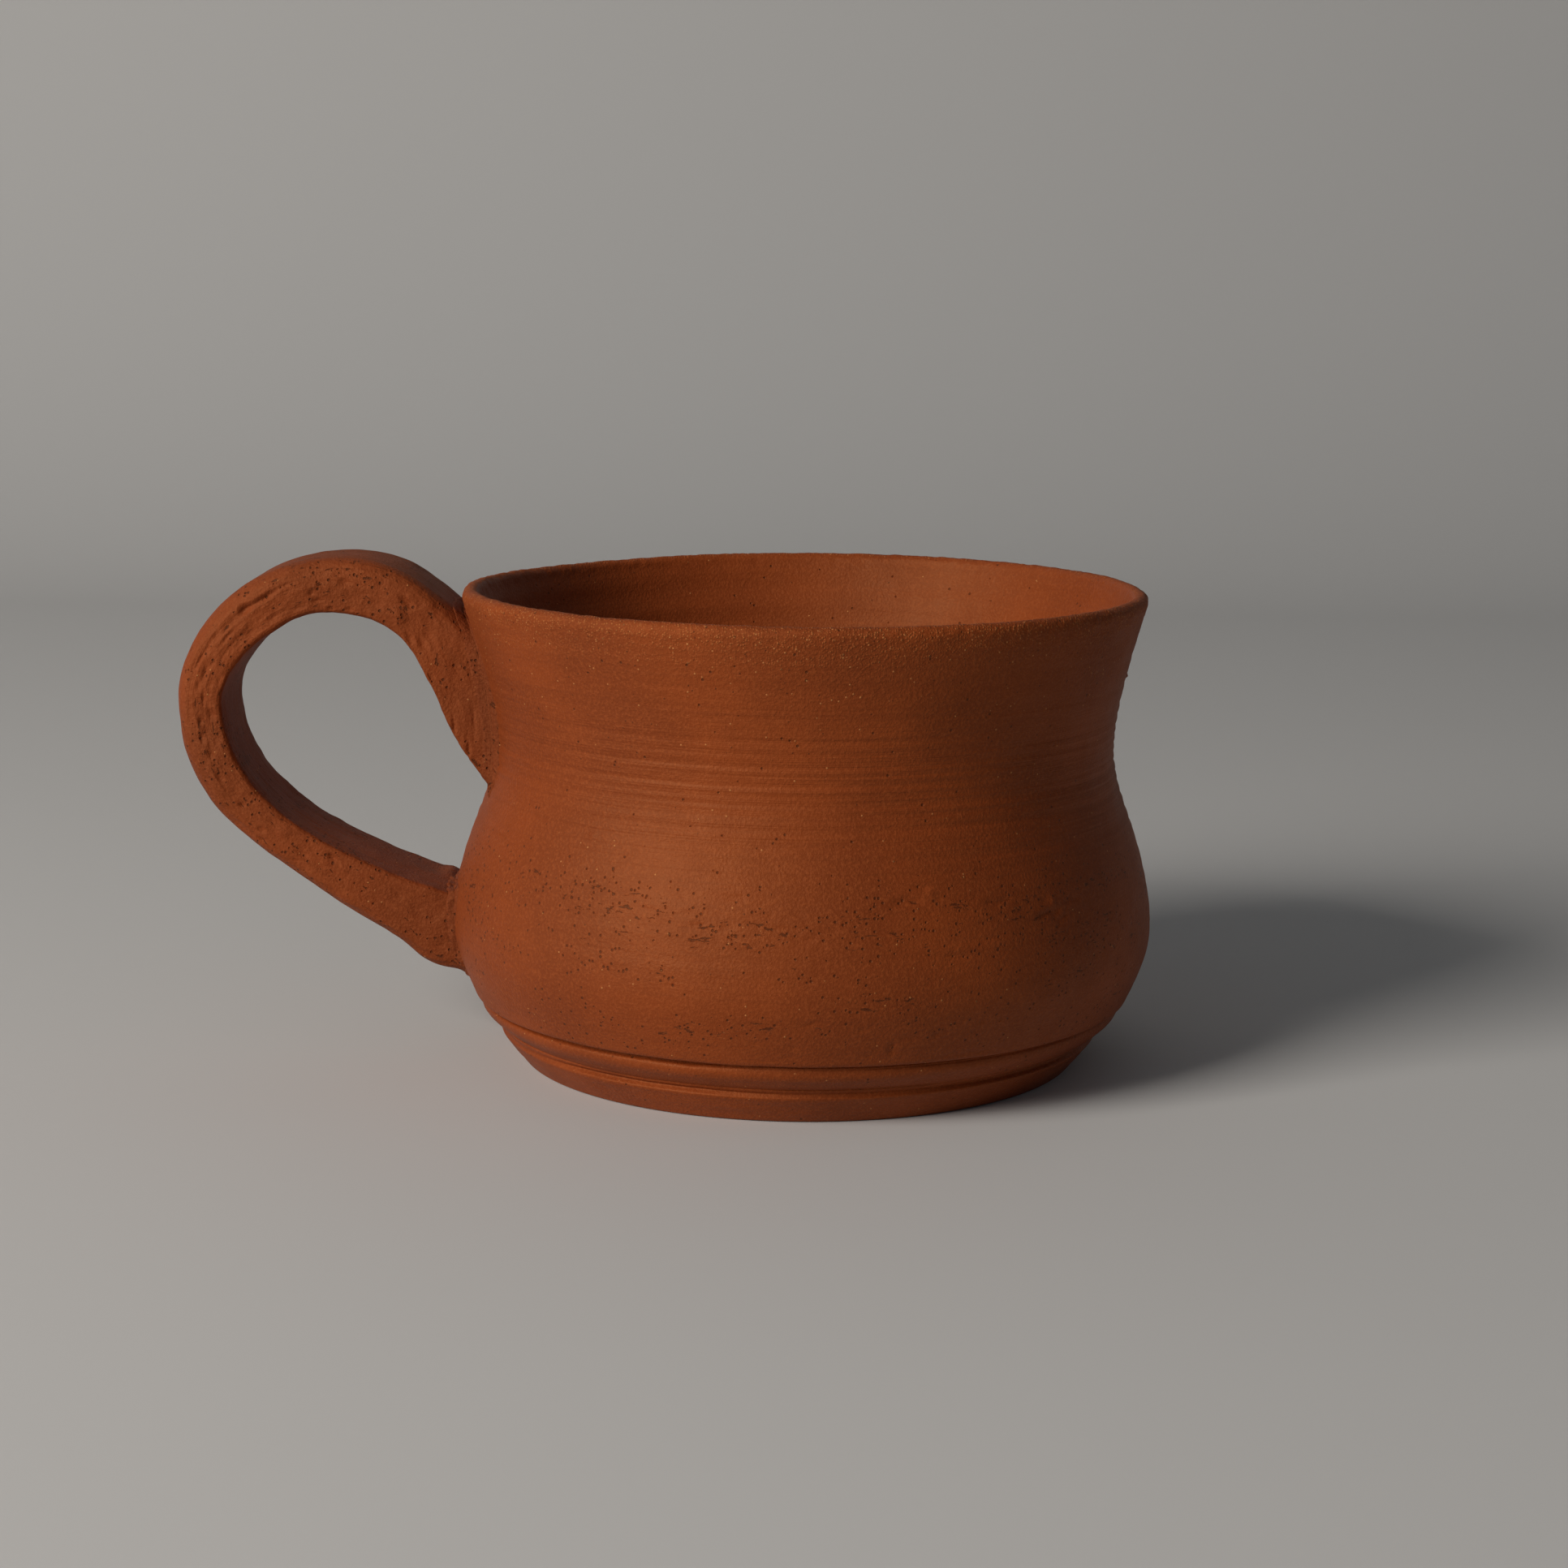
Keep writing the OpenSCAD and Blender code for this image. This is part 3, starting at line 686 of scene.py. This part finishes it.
    # Its very edge is bare sand, in grains of 0.3 mm, raised in the bump and painted lighter orange: partly real
    # grit, partly a painted highlight on the grit.
    edge = node("ShaderNodeMapRange", {"From Min": 0.0615, "From Max": 0.0685}, {"Value": height})
    edge = node("ShaderNodeMath", {"operation": "MULTIPLY"}, {0: edge, 1: outside})
    grain_cells = node("ShaderNodeTexVoronoi", {"Scale": 2900.0}, {"Vector": place})
    grain_pick = node("ShaderNodeSeparateXYZ", links={0: grain_cells.outputs["Color"]})
    grain_on = node("ShaderNodeMapRange", {"From Min": 0.35, "From Max": 0.95}, {"Value": grain_pick})
    grain_core = node("ShaderNodeMapRange", {"From Min": 0.55, "From Max": 0.15},
                      {"Value": grain_cells.outputs["Distance"]})
    grit_and_painted_highlight = node("ShaderNodeMath", {"operation": "MULTIPLY"}, {0: grain_on, 1: grain_core})
    grit_and_painted_highlight = node("ShaderNodeMath", {"operation": "MULTIPLY"}, {0: grit_and_painted_highlight, 1: edge})
    grog_cells = node("ShaderNodeTexVoronoi", {"Scale": 2100.0}, {"Vector": place})
    grog_pick = node("ShaderNodeSeparateXYZ", links={0: grog_cells.outputs["Color"]})
    grog_core = node("ShaderNodeMapRange", {"From Min": 0.34, "From Max": 0.16},
                     {"Value": grog_cells.outputs["Distance"]})
    cream_bar = node("ShaderNodeMapRange", {"To Min": 0.990, "To Max": 0.90}, {"Value": lip})
    cream_on = node("ShaderNodeMath", {"operation": "GREATER_THAN"}, {0: grog_pick, 1: cream_bar})
    cream = node("ShaderNodeMath", {"operation": "MULTIPLY"}, {0: cream_on, 1: grog_core})
    iron_bar = node("ShaderNodeMapRange", {"To Min": 0.990, "To Max": 0.92}, {"Value": lip})
    iron_on = node("ShaderNodeMath", {"operation": "GREATER_THAN"}, {0: grog_pick.outputs["Y"], 1: iron_bar})
    iron = node("ShaderNodeMath", {"operation": "MULTIPLY"}, {0: iron_on, 1: grog_core})

    # Colour, from the cloudy ground up to the grains: where each layer starts and is full, how much, and its colour.
    amount = node("ShaderNodeMapRange", {"From Min": 0.38, "From Max": 0.66, "To Max": 0.75}, {"Value": cloud})
    colour = node("ShaderNodeMix", {"data_type": "RGBA", 6: linear(clay), 7: linear(dark)}, {"Factor": amount})
    for source, low, high, most, over in (
            (blotch, 0.45, 0.75, 0.30, dark), (lines, 0.48, 0.70, 0.34, dark), (sand, 0.46, 0.72, 0.42, pale),
            # Grains at the lip's edge painted lighter orange: a painted highlight on the grit, over their real
            # relief.
            # Pinholes and tears painted near-black brown: painted shade in the hollows.
            (pits_and_painted_shade, 0.0, 1.0, 0.66, "#35130A"), (grit_and_painted_highlight, 0.0, 1.0, 0.65, "#C97C45"),
            (cream, 0.0, 1.0, 0.80, "#C8854F"), (iron, 0.0, 1.0, 0.62, "#34160C")):
        amount = node("ShaderNodeMapRange", {"From Min": low, "From Max": high, "To Max": most}, {"Value": source})
        colour = node("ShaderNodeMix", {"data_type": "RGBA", 7: linear(over)},
                      {"Factor": amount, 6: colour.outputs[2]})

    # Relief: each layer's share of the bump's 0.25 mm.
    gritty = node("ShaderNodeMath", {"operation": "MULTIPLY_ADD", 1: 0.5, 2: 1.0}, {0: lip})
    relief = node("ShaderNodeMath", {"operation": "MULTIPLY"}, {0: sand, 1: gritty})
    for source, share in ((line_relief, 1.1), (blotch, 0.5), (grit_and_painted_highlight, 2.0), (cream, 0.6), (iron, 0.3),
                          (pits_and_painted_shade, -3.4)):
        relief = node("ShaderNodeMath", {"operation": "MULTIPLY_ADD", 1: share}, {0: source, 2: relief})
    surface = node("ShaderNodeBump", {"Strength": bump, "Distance": 0.00025}, {"Height": relief})

    roughness = node("ShaderNodeMath", {"operation": "MULTIPLY_ADD", 1: 0.14, 2: rough - 0.07}, {0: blotch})
    roughness = node("ShaderNodeMath", {"operation": "MULTIPLY_ADD", 1: 0.12}, {0: lip, 2: roughness})
    shader = node("ShaderNodeBsdfPrincipled",
                  {"IOR": 1.5, "Specular IOR Level": 0.42, "Specular Tint": linear("#FFD39C")},
                  {"Base Color": colour.outputs[2], "Normal": surface, "Roughness": roughness})
    node("ShaderNodeOutputMaterial", links={"Surface": shader})
    return material


def dress(piece, material, node_name):
    """Gives a finished piece its material and its body, and hides the model part it stands in for."""
    piece.data.materials.clear()
    piece.data.materials.append(material)
    pick_up(piece)
    bpy.ops.object.shade_smooth()
    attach(piece, "root")
    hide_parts(node_name)


# ------------------------------------------------------------------ put it together

pot = throw_pot()
weather_pot(pot)
thin_out(pot, MOST_TRIANGLES)
clay_pot = bare_earthenware("turned red earthenware", "#8A3D17", "#763213", "#A45227", "thrown", 0.45, 0.60)
dress(pot, clay_pot, "thrown_body")

strap = pull_strap()
work_strap(strap)
clay_strap = bare_earthenware("pulled red earthenware", "#853B19", "#6E2F13", "#994E29", "pulled", 0.65, 0.68)
dress(strap, clay_strap, "handle")

clay_slip = bare_earthenware("wiped earthenware slip", "#803718", "#662A11", "#914A27", "pulled", 0.7, 0.72)
upper_slip = slip_round_root("upper_slip", 0, 0, SLIP_SECTION, 0.6)
dress(upper_slip, clay_slip, "upper_slip_joint")
lower_slip = slip_round_root("lower_slip", 2, 1, PINCHED_SECTION, 1.3)
dress(lower_slip, clay_slip, "lower_slip_joint")


# ------------------------------------------------------------------ floor, light and camera

MUG_MIDDLE = 0.035
CAMERA_PITCH = 9.99                     # degrees down from level
CAMERA_ROLL = 0.59


def paper_sweep():
    """A pale floor that curves up into a backdrop."""
    put_down()
    bpy.ops.mesh.primitive_plane_add(size=1, location=(0, 0, 0))
    sweep = bpy.context.object
    sweep.name = "sweep"
    bpy.ops.object.mode_set(mode="EDIT")
    shape = bmesh.from_edit_mesh(sweep.data)
    for vert in shape.verts:
        vert.co = (4.0 if vert.co.x > 0 else -4.0, 0.55 if vert.co.y > 0 else -3.0, 0.0)
    bpy.ops.mesh.select_mode(type="EDGE")
    bpy.ops.mesh.select_all(action="DESELECT")
    for edge in shape.edges:
        edge.select = all(vert.co.y > 0 for vert in edge.verts)
    bmesh.update_edit_mesh(sweep.data)
    bend, bend_steps = 0.25, 12
    for i in range(1, bend_steps + 1):
        a = math.radians(90 * i / bend_steps)
        b = math.radians(90 * (i - 1) / bend_steps)
        bpy.ops.mesh.extrude_region_move(TRANSFORM_OT_translate={
            "value": (0, bend * (math.sin(a) - math.sin(b)), bend * (math.cos(b) - math.cos(a)))})
    bpy.ops.mesh.extrude_region_move(TRANSFORM_OT_translate={"value": (0, 0, 2.5)})
    bpy.ops.object.mode_set(mode="OBJECT")
    bpy.ops.object.shade_smooth()
    paper = bpy.data.materials.new("pale backdrop paper")
    paper.use_nodes = True
    coat = paper.node_tree.nodes["Principled BSDF"].inputs
    coat["Base Color"].default_value = linear("#CBCBCA")
    coat["Roughness"].default_value = 0.9
    sweep.data.materials.append(paper)


def soft_box(name, size, power, colour, azimuth, elevation, distance):
    """An area light aimed at the mug's middle. Azimuth is measured from the camera's side, towards the handle."""
    light = bpy.data.lights.new(name, "AREA")
    light.shape = "SQUARE"
    light.size = size
    light.energy = power
    light.color = linear(colour)[:3]
    lamp = bpy.data.objects.new(name, light)
    bpy.context.collection.objects.link(lamp)
    a, e = math.radians(azimuth), math.radians(elevation)
    back = Matrix.Rotation(-a, 3, "Z") @ Matrix.Rotation(math.pi / 2 - e, 3, "X")
    lamp.rotation_euler = back.to_euler()
    offset = back.col[2] * distance
    lamp.location = (offset.x, offset.y, offset.z + MUG_MIDDLE)


paper_sweep()
soft_box("window", 0.55, 14.9, "#FFF8F0", 50, 27, 1.3)

world = bpy.data.worlds.new("room")
bpy.context.scene.world = world
world.use_nodes = True
fill = world.node_tree.nodes["Background"].inputs
fill["Color"].default_value = linear("#C4CBD4")
fill["Strength"].default_value = 0.14

lens = bpy.data.cameras.new("camera")
lens.lens = 71.35
lens.sensor_width = 36.0
camera = bpy.data.objects.new("camera", lens)
bpy.context.collection.objects.link(camera)
camera.location = (-0.00284, -0.4526, 0.1196)
camera.rotation_euler = (Matrix.Rotation(math.radians(90 - CAMERA_PITCH), 3, "X")
                         @ Matrix.Rotation(math.radians(CAMERA_ROLL), 3, "Z")).to_euler()
bpy.context.scene.camera = camera
bpy.context.scene.view_settings.view_transform = "Standard"
